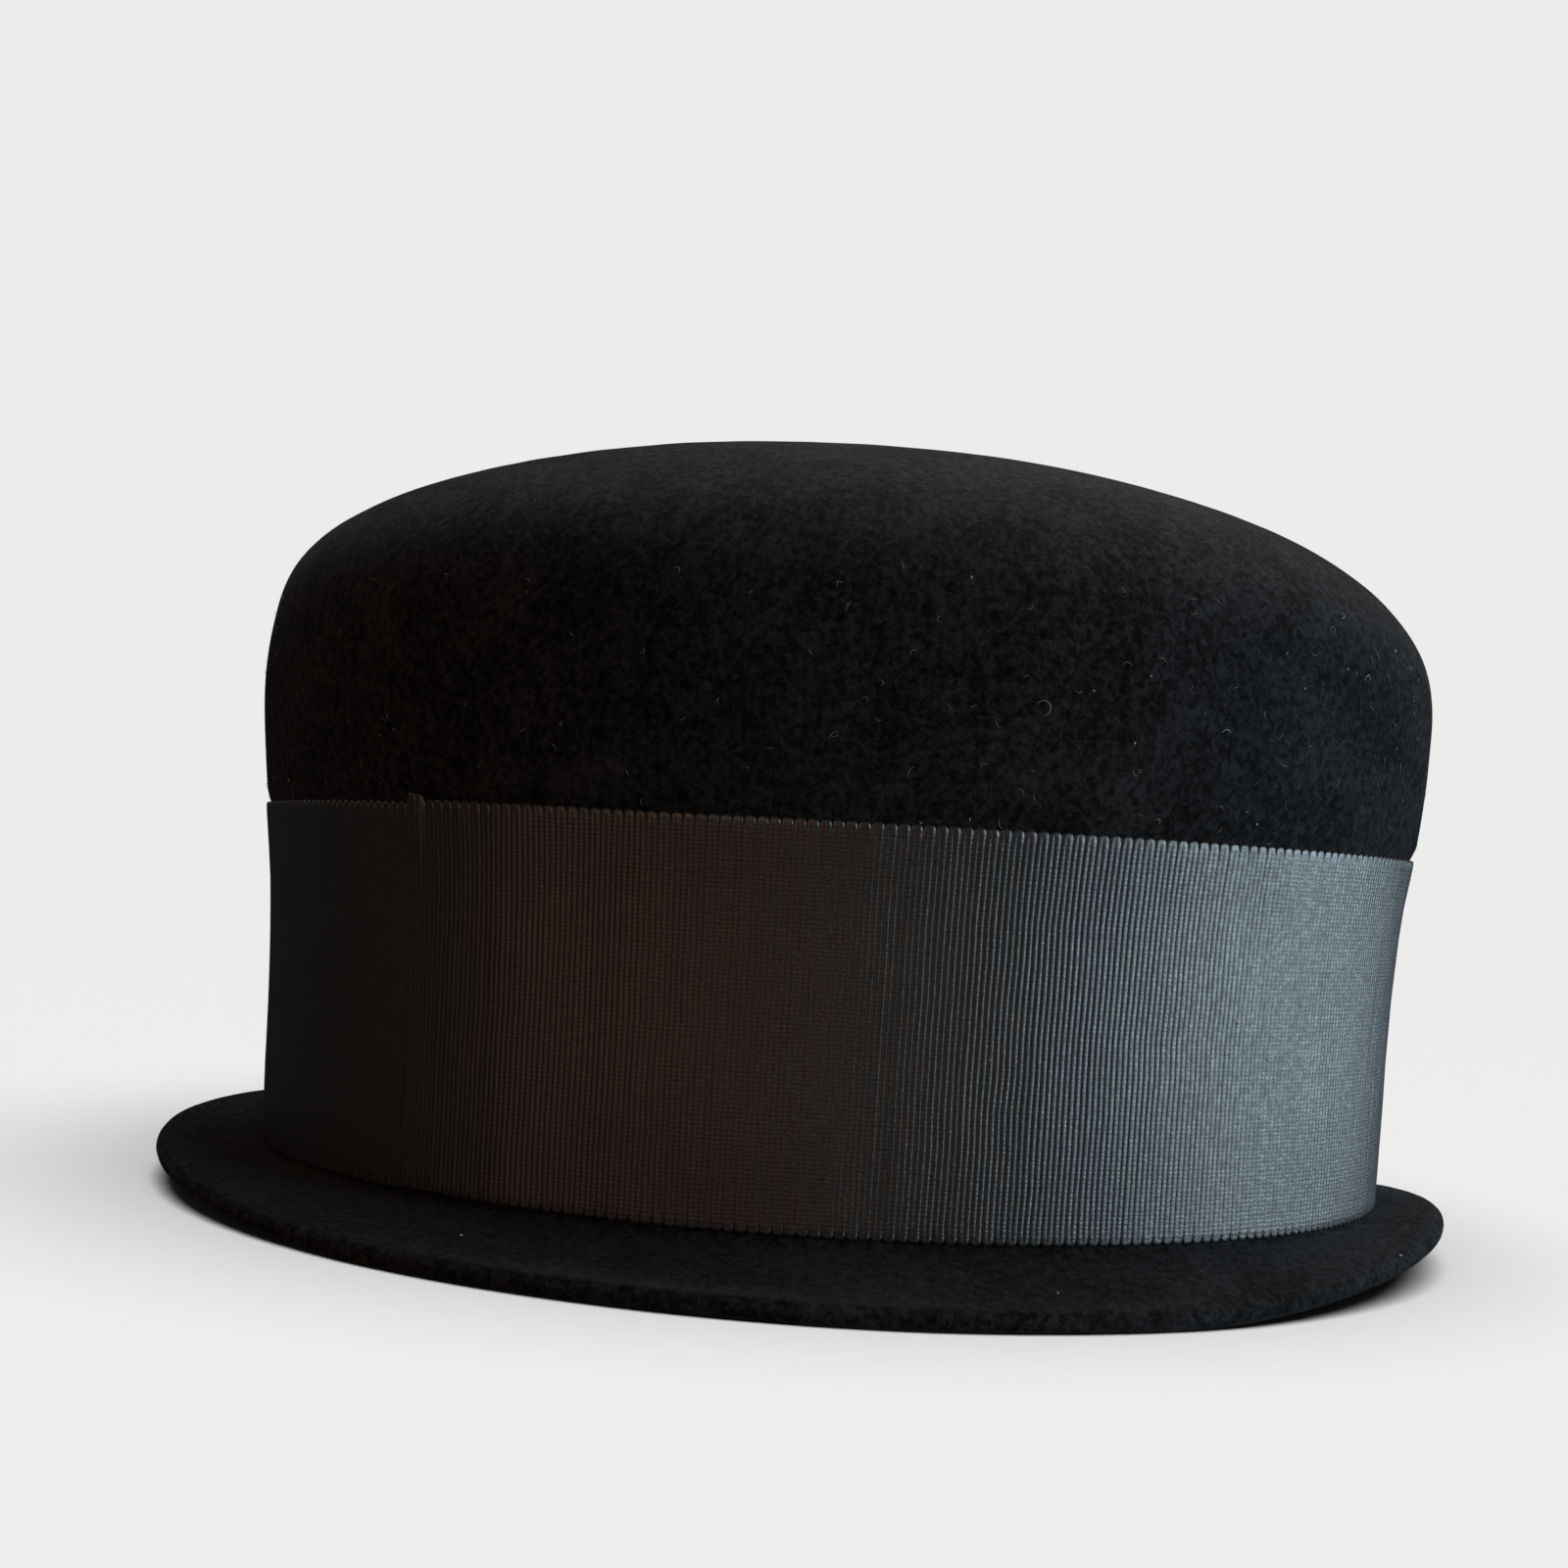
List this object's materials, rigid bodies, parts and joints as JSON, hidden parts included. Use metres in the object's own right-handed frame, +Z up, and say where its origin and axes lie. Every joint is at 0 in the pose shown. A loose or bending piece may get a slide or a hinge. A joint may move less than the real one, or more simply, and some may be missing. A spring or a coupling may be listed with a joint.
{
  "type": "felt church hat",
  "caption": "Black napped felt hat with a domed, slightly bell-shaped crown, a narrow brim that dips at the sides and a wide ribbed ribbon band lapped at the wearer's left",
  "frame": {"origin": "centre of the hat's plan, on the surface that its brim rests on", "axes": "+Z up, wearer faces -Y, wearer's left is +X"},
  "size_m": [0.211, 0.2328, 0.1358],
  "materials": {
    "felt": "short brushed nap, matt black",
    "ribbon": "ribbed, soft sheen, black"
  },
  "bodies": {
    "root": {"felt_body": "felt", "hatband": "ribbon"}
  },
  "joints": []
}
